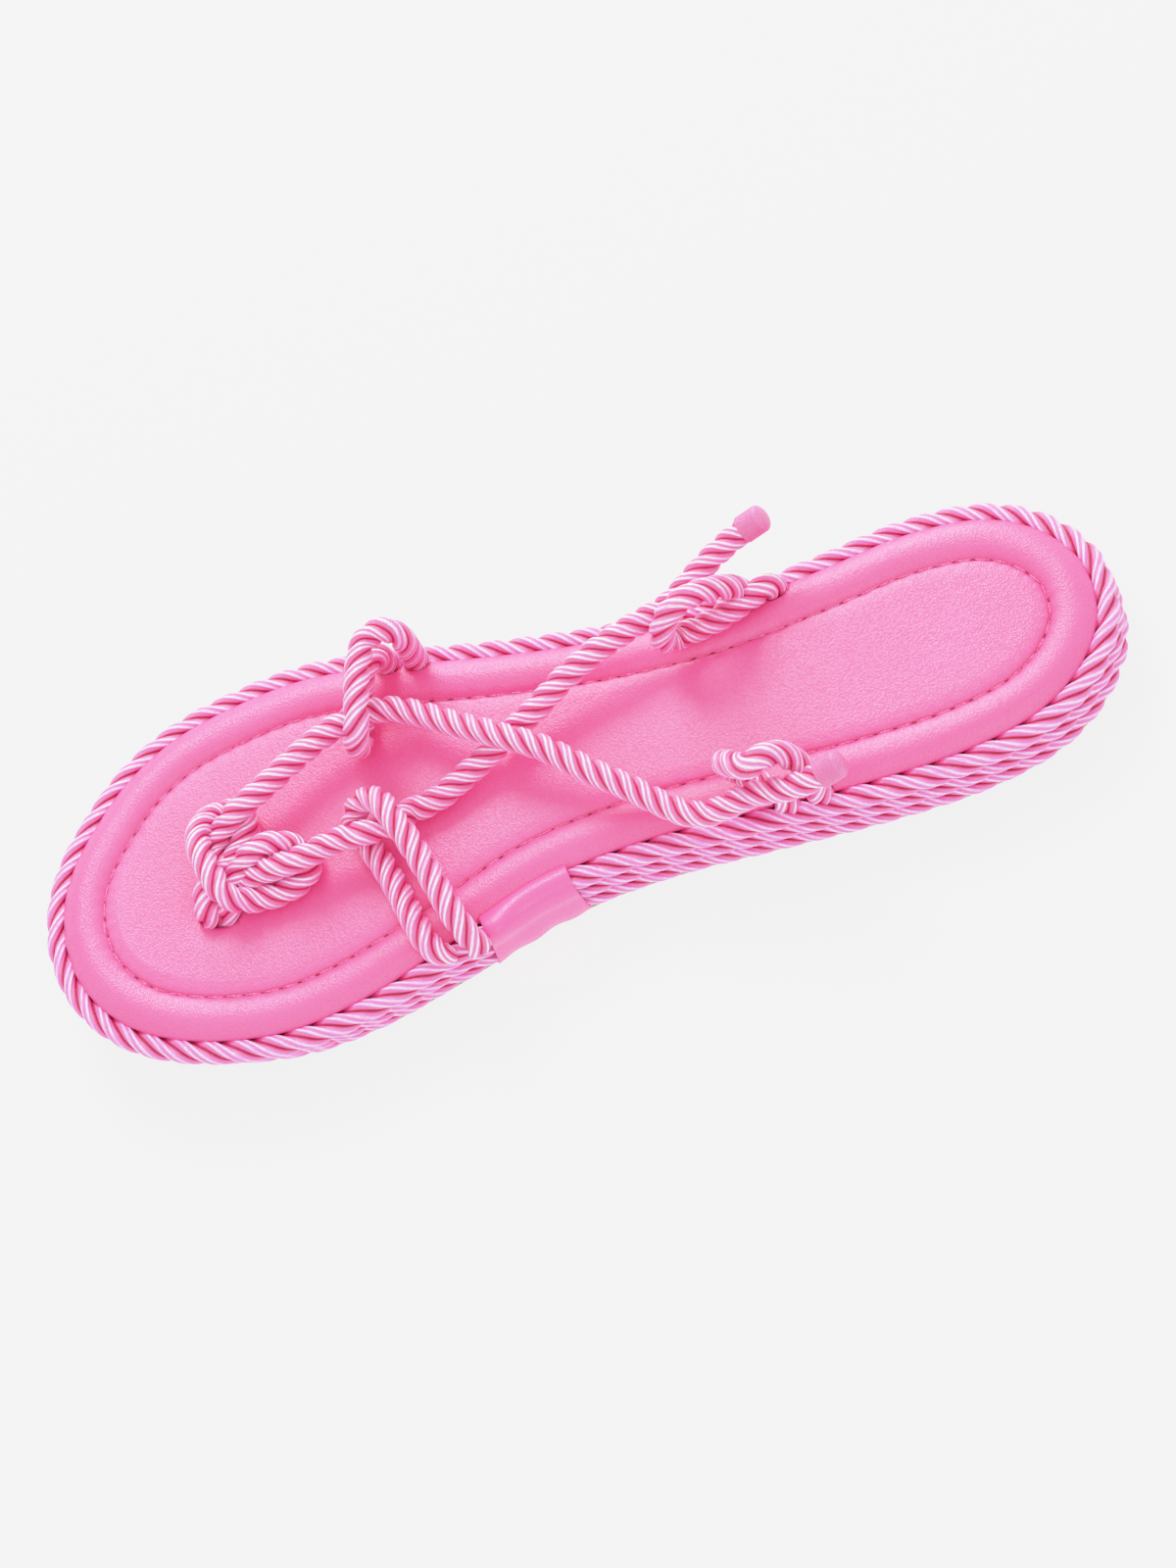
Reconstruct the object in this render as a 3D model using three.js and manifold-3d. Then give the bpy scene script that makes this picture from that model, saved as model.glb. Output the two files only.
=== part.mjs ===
// Rope sandal, right foot: a padded footbed edged with three rows of twisted rope, and an upper of the
// same rope with a knotted toe thong, two crossing straps and four side loops.
// Millimetres. X runs from toe to heel, Y from the medial to the lateral side, Z up from the floor.
// A station is a distance from the toe seam; the frame's origin is under the middle of the footbed.
import * as THREE from "three";
import { mergeVertices } from "three/addons/utils/BufferGeometryUtils.js";
import Module from "manifold-3d";

const wasm = await Module();
wasm.setup();

// Driving sizes
const FOOTBED_LENGTH = 246;
const BALL_WIDTH = 84.4;
const ROPE_D = 5.8;
const CLEAR = 0.3;
const CORE_GAP = 0.6;
const OUTSOLE_THICK = 2.2;
const OUTSOLE_EDGE = 0.4;
const OUTSOLE_INSET = 2.2;
const ROW_COUNT = 3;
const ROW_WIDTH = 5.5;
const ROW_HEIGHT = 4.7;
const ROW_OUTSET = 2.4;
const ROW_GAP = 0.8;
const SEAM_SHARE = 0.35;
const TOE_SPRING = 3.5;
const SPRING_LENGTH = 65;
const TOE_TUCK = 2;
const TUCK_START = 30;
const TUCK_END = 118;
const BORDER_WIDTH = 10;
const BORDER_RISE = 2.9;
const PANEL_RISE = 2;
const PATCH_FRONT = 95.5;
const PATCH_LENGTH = 21.5;
const PATCH_THICK = 1;

// Numbers of faces
const ROPE_SIDES = 8;
const SIDE_STEPS = 36;
const ROW_STEPS = 84;
const PATCH_STEPS = 8;
const SOCKET_POINTS = 4;

// The footbed seam: along is a share of FOOTBED_LENGTH, medial and lateral of half of BALL_WIDTH.
const OUTLINE = [
  { along: 0, medial: 0.118, lateral: -0.118 },
  { along: 0.006, medial: 0.346, lateral: 0.107 },
  { along: 0.022, medial: 0.545, lateral: 0.315 },
  { along: 0.049, medial: 0.723, lateral: 0.519 },
  { along: 0.085, medial: 0.851, lateral: 0.725 },
  { along: 0.134, medial: 0.95, lateral: 0.889 },
  { along: 0.195, medial: 1, lateral: 0.976 },
  { along: 0.268, medial: 0.95, lateral: 1 },
  { along: 0.358, medial: 0.794, lateral: 0.9 },
  { along: 0.455, medial: 0.621, lateral: 0.749 },
  { along: 0.557, medial: 0.585, lateral: 0.626 },
  { along: 0.663, medial: 0.63, lateral: 0.569 },
  { along: 0.764, medial: 0.673, lateral: 0.602 },
  { along: 0.854, medial: 0.673, lateral: 0.64 },
  { along: 0.923, medial: 0.592, lateral: 0.578 },
  { along: 0.967, medial: 0.427, lateral: 0.417 },
  { along: 0.994, medial: 0.199, lateral: 0.185 },
  { along: 1, medial: 0.01, lateral: -0.01 },
];

// The top of the footbed above the seam: in is a share of BORDER_WIDTH, border of BORDER_RISE and
// panel of PANEL_RISE.
const TOP = [
  { in: 0.02, border: 0, panel: 0 },
  { in: 0.09, border: 0.42, panel: 0 },
  { in: 0.22, border: 0.8, panel: 0 },
  { in: 0.42, border: 1, panel: 0 },
  { in: 0.65, border: 0.97, panel: 0 },
  { in: 0.86, border: 0.76, panel: 0 },
  { in: 0.98, border: 0, panel: 0.75 },
  { in: 1.15, border: 0, panel: 0.88 },
  { in: 1.5, border: 0, panel: 0.97 },
  { in: 2, border: 0, panel: 1 },
];

// Rope routes: station, side and height above the panel of points on the rope's centre line,
// chosen by hand on a footbed of ROUTE_LENGTH and ROUTE_WIDTH, with which they are scaled.
const ROUTE_LENGTH = 246;
const ROUTE_WIDTH = 84.4;
const STRAPS = [
  [184, -31, 15.4], [179.5, -31.6, 14.2], [175, -31.7, 13], [170.5, -31, 11.9], [166, -29.6, 10.9],
  [162, -28.8, 9.7], [157, -28.6, 8.1], [152, -28.2, 6.8], [147, -26, 6.5], [142, -21.7, 7],
  [137, -17, 8], [128.4, -9.6, 10], [120, -1.6, 11.2], [112.5, 3.8, 11.5], [101.7, 11.8, 10.1],
  [90.9, 19.7, 9.3], [85.6, 21.9, 9.4], [80.1, 22.3, 9.4], [74, 21.4, 9.3], [69.5, 20, 9.1],
  [62.2, 16.6, 9.1], [57.3, 13.9, 9.1], [52.3, 11.5, 8.9], [47.7, 9.7, 8.1], [43.4, 7.8, 6.1],
  [39.8, 4.6, 4.5], [39.6, 0, 4.1], [41.8, -4.1, 4],
  [45.5, -6, 4.5], [50, -6.6, 6.4], [54.4, -7.4, 8.3], [58, -7.8, 9.1], [61.4, -7.5, 9],
  [66, -6.6, 8.7], [71, -6.3, 9.1], [75.6, -6.9, 9.5], [79.5, -6.2, 7.9], [82.8, -4.4, 5.4],
  [85.8, -2.4, 4.1], [89.4, -2, 3.6], [94, -0.9, 3.5], [98.2, 0.9, 3.8], [102.7, 2.7, 4.5],
  [107.2, 4.5, 5.3], [111.6, 6.8, 5.6], [115.8, 8.8, 6.3], [120.1, 10.3, 7.5], [128.6, 14.4, 9.5],
  [137, 17.4, 11], [147, 20.3, 11.5], [154.6, 21.7, 11.8], [159, 23.9, 12.2], [163.5, 26.7, 12.7],
  [168, 29.2, 13.3], [172.5, 31, 14.2], [177, 32.2, 15.4], [181.5, 32.8, 16.8],
];
const THONG = [
  [34.6, -9.6, -8.5], [34.8, -10, 0.1], [34.9, -9.8, 3.7], [36, -6.8, 5.7], [39, -3.4, 4.7],
  [42.6, -0.8, 4.3], [44.8, 1.6, 3.9], [46.8, 4.6, 3.7], [48.1, 7.6, 3.6], [47.2, 10.6, 3.7],
  [44.8, 12.4, 3.8], [41.6, 12.5, 4.4], [38.9, 10.6, 6.1], [37.4, 6.7, 8.2], [37.7, 1.7, 9.8],
  [38.7, -2.7, 10.2], [39.7, -6.6, 9.9], [40.7, -9.5, 8.7], [42.6, -11, 6.7], [45.4, -11.4, 4.9],
  [48.7, -11.6, 3.9], [52.5, -11.5, 3.6], [56.4, -10.7, 3.5], [59.3, -9, 3.4], [60.5, -6.4, 3.4],
  [59.8, -3.7, 3.6], [57.9, -2, 5.1], [55.8, -1.4, 7.1], [52.8, -1.2, 8.4], [49.3, -2, 8.3],
  [45.6, -3.6, 6.5], [42.4, -6.6, 4.3], [40, -9.4, 2.5], [38.6, -10.6, -0.9], [38.4, -10.8, -8.5],
];
const FRONT_LOOP_MEDIAL = [
  [94.2, -38.9, 0.1], [93.2, -37.1, 3.7], [92, -33.9, 6.7], [90.9, -30.3, 8.3], [88.6, -21.8, 10.2],
  [85.6, -12, 12.5], [84, -8, 13.5], [82.4, -3.8, 13.4], [79.8, -0.4, 11.5], [76.5, 1, 8.8],
  [73.6, 0.3, 5.7], [72.7, -2, 3.7], [73.9, -5, 3.4], [77.2, -13.2, 3.4], [80.1, -23, 4],
  [81.5, -28.4, 4.6], [82.7, -33, 4.4], [84.1, -36.5, 3.3], [86.6, -38.6, 2.1], [89, -39.2, 1.3],
];
const FRONT_LOOP_LATERAL = [
  [93.6, 37.2, -5.6], [93.7, 37, -1], [94, 36.6, 3.5], [94.5, 35.9, 9.5], [94.5, 35.7, 14.5],
  [92.8, 36.4, 17.5], [89.7, 36.5, 18.1], [86.8, 35, 17.9], [84.8, 31.2, 17.5], [82.9, 25.1, 16.9],
  [81.9, 21.3, 16.3], [80.6, 17, 14.9], [79.1, 15.5, 11.9], [78, 15.7, 7.9], [77.7, 17.9, 4.3],
  [78.2, 20.8, 3.3], [79.4, 25.9, 3.4], [81, 30.2, 5.6], [82.9, 33, 8.2], [85, 35, 9.4],
  [86.6, 36.9, 7.4], [87, 38.2, 3], [87, 38.6, -0.8], [87, 38.7, -5.6],
];
const REAR_LOOP_MEDIAL = [
  [168.5, -27.6, -5.6], [168.3, -27.4, -1], [166.8, -26, 3.1], [163.5, -23, 4.4], [160.8, -20, 5.3],
  [159, -18.8, 8], [159.4, -20.2, 11.7], [161.6, -23.4, 15.5], [165, -26, 17.9], [169.2, -24.6, 17.5],
  [173, -24.4, 13.9], [175.2, -26.2, 8], [175.9, -27.6, 1.5], [175.9, -27.9, -5.6],
];
const REAR_LOOP_LATERAL = [
  [178.4, 25, -5.6], [178.2, 24.8, -1], [176.4, 23.4, 3.3], [171, 20.8, 4.7], [164, 18.8, 4.5],
  [158, 18, 4.5], [154.6, 17.2, 5.4], [152.8, 15.9, 7.8], [152.6, 15, 11.6], [154.2, 15.6, 15.8],
  [157.6, 17.2, 18.5], [161.6, 18.8, 18.2], [165.8, 20.6, 15], [169.4, 22.6, 10], [171, 24.2, 3.8],
  [171.2, 24.8, -1.5], [171.2, 24.8, -5.6],
];

const ROW_PITCH = ROW_HEIGHT + CLEAR;
const ROW_BASE = OUTSOLE_THICK + CLEAR + ROW_HEIGHT / 2;
const SEAM_HEIGHT = ROW_BASE + (ROW_COUNT - 1) * ROW_PITCH + ROW_HEIGHT * SEAM_SHARE;
const PANEL_HEIGHT = SEAM_HEIGHT + PANEL_RISE;

// Height gained by the toe spring, and how far each lower row tucks in under the one above.
const lift = (station) => TOE_SPRING * Math.max(0, 1 - station / SPRING_LENGTH) ** 2;
const tuck = (station) => TOE_TUCK * (1 - THREE.MathUtils.smoothstep(station, TUCK_START, TUCK_END));
const rowOutset = (row, station) => ROW_OUTSET - row * tuck(station);
const rowHeight = (row) => ROW_BASE + (ROW_COUNT - 1 - row) * ROW_PITCH;
const coreOutset = (row, station) => rowOutset(row, station) - ROW_WIDTH / 2 - CORE_GAP;

function sideCurve(side, sign) {
  const points = OUTLINE.map(
    (row) =>
      new THREE.Vector3(row.along * FOOTBED_LENGTH, (sign * row[side] * BALL_WIDTH) / 2, 0),
  );
  return new THREE.CatmullRomCurve3(points, false, "centripetal");
}
const SIDES = { medial: sideCurve("medial", -1), lateral: sideCurve("lateral", 1) };

// The seam as a ring: toe tip, lateral side, heel tip, medial side, with outward normals. Points i
// and count - i lie opposite each other.
function seamRing() {
  const ring = [];
  for (let i = 0; i <= SIDE_STEPS; i++) ring.push(SIDES.lateral.getPoint(i / SIDE_STEPS));
  for (let i = SIDE_STEPS - 1; i > 0; i--) ring.push(SIDES.medial.getPoint(i / SIDE_STEPS));
  return ring.map((point, i) => {
    const next = ring[(i + 1) % ring.length];
    const last = ring[(i + ring.length - 1) % ring.length];
    const normal = new THREE.Vector3(last.y - next.y, next.x - last.x, 0).normalize();
    return { point, normal, station: point.x };
  });
}
const SEAM = seamRing();

// A point beside the seam, in the frame of the shoe.
function beside({ point, normal, station }, outset, height) {
  const x = point.x - FOOTBED_LENGTH / 2 + normal.x * outset;
  return new THREE.Vector3(x, point.y + normal.y * outset, height + lift(station));
}

function meshOf(positions, triangles) {
  const geometry = new THREE.BufferGeometry();
  geometry.setAttribute("position", new THREE.Float32BufferAttribute(positions, 3));
  geometry.setIndex(triangles);
  return geometry;
}

// A closed body through rings of the same length. It closes its ends with strips from side to side.
function loft(rings) {
  const count = rings[0].length;
  const positions = rings.flatMap((ring) => ring.flatMap((p) => [p.x, p.y, p.z]));
  const triangles = [];
  const quad = (a, b, c, d) => triangles.push(a, b, c, a, c, d);
  for (let r = 0; r + 1 < rings.length; r++)
    for (let i = 0; i < count; i++) {
      const j = (i + 1) % count;
      quad(r * count + i, (r + 1) * count + i, (r + 1) * count + j, r * count + j);
    }
  const top = (rings.length - 1) * count;
  for (let i = 0; i < count / 2; i++) {
    const [a, b] = [i, i + 1];
    const [c, d] = [count - 1 - i, (count - i) % count];
    if (b !== c) triangles.push(a, b, c, top + a, top + c, top + b);
    if (a !== d) triangles.push(a, c, d, top + a, top + d, top + c);
  }
  return meshOf(positions, triangles);
}

function regularSection(across, high, sides) {
  const points = [];
  for (let i = 0; i < sides; i++) {
    const angle = (2 * Math.PI * (i + 0.5)) / sides;
    points.push(new THREE.Vector2((Math.cos(angle) * high) / 2, (Math.sin(angle) * across) / 2));
  }
  return new THREE.Shape(points);
}

function tube(curve, steps, across = ROPE_D, high = ROPE_D) {
  return new THREE.ExtrudeGeometry(regularSection(across, high, ROPE_SIDES), {
    extrudePath: curve,
    steps,
  });
}

function routeCurve(route) {
  const points = route.map(([station, side, height]) => {
    const x = (station / ROUTE_LENGTH - 0.5) * FOOTBED_LENGTH;
    return new THREE.Vector3(x, (side / ROUTE_WIDTH) * BALL_WIDTH, PANEL_HEIGHT + height);
  });
  return new THREE.CatmullRomCurve3(points, false, "centripetal");
}

const STEP_LENGTH = 0.75 * ROPE_D;
function ropeTube(route) {
  const curve = routeCurve(route);
  return tube(curve, Math.round(curve.getLength() / STEP_LENGTH));
}

// The hole that a rope's end takes up: its last points, grown by the clearance.
function socket(points) {
  const curve = routeCurve(points);
  const across = (ROPE_D + 2 * CLEAR) / Math.cos(Math.PI / ROPE_SIDES);
  return tube(curve, Math.ceil(curve.getLength() / STEP_LENGTH), across, across);
}

function lowered([station, y, z]) {
  return [station, y, z - CLEAR];
}
function socketsOf(route, ends) {
  const first = [lowered(route[0]), ...route.slice(1, SOCKET_POINTS)];
  const last = [...route.slice(-SOCKET_POINTS, -1), lowered(route.at(-1))];
  return [ends.first && socket(first), ends.last && socket(last)].filter(Boolean);
}

function solid(geometry) {
  const bare = geometry.clone();
  bare.deleteAttribute("normal");
  bare.deleteAttribute("uv");
  const merged = mergeVertices(bare, 1e-4);
  return new wasm.Manifold(
    new wasm.Mesh({
      numProp: 3,
      vertProperties: merged.attributes.position.array,
      triVerts: new Uint32Array(merged.index.array),
    }),
  );
}

function geometryOf(manifold) {
  const { numProp, vertProperties, triVerts } = manifold.getMesh();
  const positions = [];
  for (let i = 0; i < vertProperties.length; i += numProp)
    positions.push(...vertProperties.subarray(i, i + 3));
  return meshOf(positions, Array.from(triVerts));
}

function cut(geometry, tools) {
  return geometryOf(tools.reduce((rest, tool) => rest.subtract(solid(tool)), solid(geometry)));
}
function joined(geometries) {
  return geometryOf(geometries.map(solid).reduce((all, next) => all.add(next)));
}

function outsole() {
  const ring = (inset, height) =>
    SEAM.map((at) => {
      const edge = rowOutset(ROW_COUNT - 1, at.station) + ROW_WIDTH / 2 - OUTSOLE_INSET;
      return beside(at, edge - inset, height);
    });
  return loft([ring(OUTSOLE_EDGE, 0), ring(0, OUTSOLE_EDGE), ring(0, OUTSOLE_THICK)]);
}

// The core stands on the outsole inside the rope rows, and the padded top closes it.
function footbedBody() {
  const rings = [SEAM.map((at) => beside(at, coreOutset(ROW_COUNT - 1, at.station), OUTSOLE_THICK + CLEAR))];
  for (let row = ROW_COUNT - 1; row >= 0; row--)
    rings.push(SEAM.map((at) => beside(at, coreOutset(row, at.station), rowHeight(row))));
  for (const { in: share, border, panel } of TOP) {
    const height = SEAM_HEIGHT + border * BORDER_RISE + panel * PANEL_RISE;
    rings.push(SEAM.map((at) => beside(at, -share * BORDER_WIDTH, height)));
  }
  return loft(rings);
}

// A welt rope starts and ends under the joining patch.
function weltRope(row) {
  const ring = SEAM.map((at) => beside(at, rowOutset(row, at.station), rowHeight(row)));
  const whole = new THREE.CatmullRomCurve3(ring, true, "centripetal");
  whole.arcLengthDivisions = 1000;
  const middle = PATCH_FRONT + PATCH_LENGTH / 2 - FOOTBED_LENGTH / 2;
  const samples = 2000;
  let start = 0;
  for (let i = samples / 2; i < samples; i++)
    if (whole.getPointAt(i / samples).x > middle) start = i / samples;
  const gap = ROW_GAP / whole.getLength();
  const points = [];
  for (let i = 0; i <= ROW_STEPS; i++)
    points.push(whole.getPointAt((start + gap / 2 + ((1 - gap) * i) / ROW_STEPS) % 1));
  return tube(new THREE.CatmullRomCurve3(points, false, "centripetal"), ROW_STEPS, ROW_WIDTH, ROW_HEIGHT);
}

// The patch wraps the rows from the seam down to the bottom row.
function joiningPatch() {
  const turns = { top: [120, 90, 60, 30, 0], bottom: [0, -25, -50] };
  const section = (at, spare) => {
    const arc = (angles, row) =>
      angles.map((degrees) => {
        const angle = THREE.MathUtils.degToRad(degrees);
        const out = rowOutset(row, at.station) + (ROW_WIDTH / 2 + spare) * Math.cos(angle);
        return beside(at, out, rowHeight(row) + (ROW_HEIGHT / 2 + spare) * Math.sin(angle));
      });
    return [...arc(turns.top, 0), ...arc(turns.bottom, ROW_COUNT - 1)];
  };
  const inner = CLEAR / Math.cos(Math.PI / ROPE_SIDES);
  const rings = [];
  for (let i = 0; i <= PATCH_STEPS; i++) {
    const at = medialAt(PATCH_FRONT + (PATCH_LENGTH * i) / PATCH_STEPS);
    rings.push([...section(at, inner), ...section(at, inner + PATCH_THICK).reverse()]);
  }
  return loft(rings);
}

// The seam on the medial side at a station.
function medialAt(station) {
  const i = SEAM.findIndex((at, k) => k > SIDE_STEPS && at.station <= station);
  const [a, b] = [SEAM[i - 1], SEAM[i]];
  const share = (station - a.station) / (b.station - a.station);
  return {
    point: a.point.clone().lerp(b.point, share),
    normal: a.normal.clone().lerp(b.normal, share).normalize(),
    station,
  };
}

const PINK = { rope: 0xf48ac4, leather: 0xf27fb5, thong: 0xf58fc8 };
const TAN = 0xa39a78;
function leather(color, roughness) {
  return new THREE.MeshStandardMaterial({ color, roughness, metalness: 0 });
}

const group = new THREE.Group();
function add(name, geometry, material) {
  const mesh = new THREE.Mesh(geometry, material);
  mesh.name = name;
  group.add(mesh);
}

const loops = {
  front_loop_medial: FRONT_LOOP_MEDIAL,
  front_loop_lateral: FRONT_LOOP_LATERAL,
  rear_loop_medial: REAR_LOOP_MEDIAL,
  rear_loop_lateral: REAR_LOOP_LATERAL,
};
const both = { first: true, last: true };
const loopSockets = ["front_loop_lateral", "rear_loop_medial", "rear_loop_lateral"].flatMap((name) =>
  socketsOf(loops[name], both),
);

add("outsole", outsole(), leather(TAN, 0.8));
add("footbed", cut(footbedBody(), [...loopSockets, ...socketsOf(THONG, both)]), leather(PINK.leather, 0.5));
for (let row = 0; row < ROW_COUNT; row++) {
  const rope = weltRope(row);
  add(`welt_rope_row_${row + 1}`, row === 0 ? cut(rope, loopSockets) : rope, leather(PINK.rope, 0.35));
}
add("joining_patch", joiningPatch(), leather(PINK.leather, 0.45));
add("upper_rope", joined([ropeTube(STRAPS), ropeTube(THONG)]), leather(PINK.thong, 0.35));
for (const [name, route] of Object.entries(loops)) add(name, ropeTube(route), leather(PINK.rope, 0.35));

export default group;
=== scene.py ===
# %% [markdown]
# A rope sandal, dressed for its portrait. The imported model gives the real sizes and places. This lesson
# gives each piece its looks: ropes twisted from three plies, a padded leather footbed, its stitches, the
# leather patch over the rope joint, and the rubber sheet under it all.

# %% Load the frame
import math

import bpy
import numpy as np
from mathutils import Matrix, Vector


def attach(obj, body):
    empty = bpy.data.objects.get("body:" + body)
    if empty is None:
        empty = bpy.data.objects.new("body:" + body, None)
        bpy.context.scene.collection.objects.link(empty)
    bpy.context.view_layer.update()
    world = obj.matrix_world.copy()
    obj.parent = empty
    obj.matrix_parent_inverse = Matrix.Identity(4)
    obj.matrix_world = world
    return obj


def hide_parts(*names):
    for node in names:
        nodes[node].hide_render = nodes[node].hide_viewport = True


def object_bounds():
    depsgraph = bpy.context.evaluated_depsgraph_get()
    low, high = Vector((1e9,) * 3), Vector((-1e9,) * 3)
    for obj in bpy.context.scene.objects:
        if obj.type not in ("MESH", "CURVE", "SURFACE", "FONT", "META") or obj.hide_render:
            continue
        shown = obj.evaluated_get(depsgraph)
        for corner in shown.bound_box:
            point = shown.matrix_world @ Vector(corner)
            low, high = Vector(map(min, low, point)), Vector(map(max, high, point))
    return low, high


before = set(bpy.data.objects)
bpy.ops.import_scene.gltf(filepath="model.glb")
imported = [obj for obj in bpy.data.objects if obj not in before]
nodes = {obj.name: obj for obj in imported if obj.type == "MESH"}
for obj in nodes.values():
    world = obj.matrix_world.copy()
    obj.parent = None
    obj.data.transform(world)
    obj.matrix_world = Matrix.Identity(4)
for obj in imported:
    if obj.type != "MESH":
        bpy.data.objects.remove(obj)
cad_low, cad_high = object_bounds()
scene = bpy.context.scene
MM = 0.001
print("nodes:", sorted(nodes))

# %% [markdown]
# The camera comes first, because everything is judged through it. It looks down steeply on the medial
# side and is rolled, so that the toe lies at the lower left as in the photograph. The aim is moved until
# the whole shoe is in the middle of the picture, and the lens is then as long as the margin allows.

# %% Camera
PICTURE = (1200, 1600)
VIEW_AZIMUTH = math.radians(20)
VIEW_ELEVATION = math.radians(60)
VIEW_ROLL = math.radians(36)
VIEW_DISTANCE = 1.0
SENSOR = 36
PICTURE_FILL = 0.92
AIM_ROUNDS = 4


def look_axes(azimuth, elevation, roll):
    """The camera's right, up and back directions."""
    flat = math.cos(elevation)
    back = Vector((math.sin(azimuth) * flat, -math.cos(azimuth) * flat, math.sin(elevation)))
    level = Vector((0, 0, 1)).cross(back).normalized()
    upright = back.cross(level)
    right = level * math.cos(roll) - upright * math.sin(roll)
    up = level * math.sin(roll) + upright * math.cos(roll)
    return right, up, back


def all_corners():
    """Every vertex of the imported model, in metres."""
    return np.array([vertex.co for node in nodes.values() for vertex in node.data.vertices])


right, up, back = look_axes(VIEW_AZIMUTH, VIEW_ELEVATION, VIEW_ROLL)
corners = all_corners()
aim = (cad_low + cad_high) / 2
for _ in range(AIM_ROUNDS):
    beside = (corners - np.array(aim)) @ np.array([right, up, back]).T
    seen = beside[:, :2] / (VIEW_DISTANCE - beside[:, 2:])
    middle = (seen.min(0) + seen.max(0)) / 2 * VIEW_DISTANCE
    aim = aim + right * middle[0] + up * middle[1]
spread = seen.max(0) - seen.min(0)
focal_pixels = PICTURE_FILL * min(PICTURE[0] / spread[0], PICTURE[1] / spread[1])

camera_data = bpy.data.cameras.new("camera")
camera_data.sensor_width = SENSOR
camera_data.lens = SENSOR * focal_pixels / max(PICTURE)
camera = bpy.data.objects.new("camera", camera_data)
scene.collection.objects.link(camera)
turned = Matrix((right, up, back)).transposed().to_4x4()
camera.matrix_world = Matrix.Translation(aim + back * VIEW_DISTANCE) @ turned
scene.camera = camera
print("lens", round(camera_data.lens, 1), "mm")

# %% [markdown]
# The photograph's paper is a pale grey, and its bright pinks keep their hue up to the brightest spots. So
# the picture keeps the plain tone curve, with a soft shoulder for what is brighter than the paper.

# %% Tone curve
BRIGHTEST = 2.0
SHOULDER = [(0.3, 0.6), (0.45, 0.8), (0.65, 0.893), (0.85, 0.955)]
SHOULDER_TOP = 1.0
scene.view_settings.view_transform = "Standard"
scene.view_settings.use_curve_mapping = True
tone = scene.view_settings.curve_mapping
tone.white_level = (BRIGHTEST, BRIGHTEST, BRIGHTEST)
all_channels = tone.curves[3]
for place, level in SHOULDER:
    all_channels.points.new(place, level)
all_channels.points[-1].location = (1, SHOULDER_TOP)
tone.update()
print("tone curve with", len(all_channels.points), "points")

# %% [markdown]
# Ropes and seam follow smooth curves through a few given points. The curve used here is the
# centripetal one of the solids, so that each piece lies where its solid does.

# %% Smooth lines


def smooth_line(points, count):
    """count points on a centripetal curve through points, evenly spread between them."""
    points = np.array(points, float)
    ends = np.array([2 * points[0] - points[1], 2 * points[-1] - points[-2]])
    full = np.vstack([ends[:1], points, ends[1:]])
    spans = np.maximum(np.linalg.norm(np.diff(full, axis=0), axis=1), 1e-9) ** 0.5
    place = np.linspace(0, len(points) - 1, count)
    at = np.minimum(place.astype(int), len(points) - 2)
    t = (place - at)[:, None]
    a, b, c, d = (full[at + k] for k in range(4))
    before, along, after = (spans[at + k][:, None] for k in range(3))
    leave = ((b - a) / before - (c - a) / (before + along) + (c - b) / along) * along
    arrive = ((c - b) / along - (d - b) / (along + after) + (d - c) / after) * along
    return (
        b
        + leave * t
        + (-3 * b + 3 * c - 2 * leave - arrive) * t**2
        + (2 * b - 2 * c + leave + arrive) * t**3
    )


def line_length(line):
    """The length of a line through its points."""
    return float(np.linalg.norm(np.diff(line, axis=0), axis=1).sum())


def even_line(line, step):
    """The same line with its points an even step apart."""
    run = np.concatenate([[0], np.cumsum(np.linalg.norm(np.diff(line, axis=0), axis=1))])
    count = max(2, round(run[-1] / step)) + 1
    wanted = np.linspace(0, run[-1], count)
    return np.stack([np.interp(wanted, run, line[:, k]) for k in range(3)], 1)


# %% [markdown]
# The sizes of the shoe, in millimetres. A station is a distance from the toe seam. The outline is the
# seam where the leather meets the top rope, and the rows of rope tuck in under each other at the toe.

# %% Sizes
FOOTBED_LENGTH = 246
BALL_WIDTH = 84.4
ROPE_D = 5.8
CLEAR = 0.3
OUTSOLE_THICK = 2.2
ROW_COUNT = 3
ROW_WIDTH = 5.5
ROW_HEIGHT = 4.7
ROW_OUTSET = 2.4
SEAM_SHARE = 0.35
TOE_SPRING = 3.5
SPRING_LENGTH = 65
TOE_TUCK = 2
TUCK_START = 30
TUCK_END = 118
PANEL_RISE = 2
PATCH_FRONT = 95.5
PATCH_LENGTH = 21.5

ROW_PITCH = ROW_HEIGHT + CLEAR
ROW_BASE = OUTSOLE_THICK + CLEAR + ROW_HEIGHT / 2
SEAM_HEIGHT = ROW_BASE + (ROW_COUNT - 1) * ROW_PITCH + ROW_HEIGHT * SEAM_SHARE
PANEL_HEIGHT = SEAM_HEIGHT + PANEL_RISE

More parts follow.
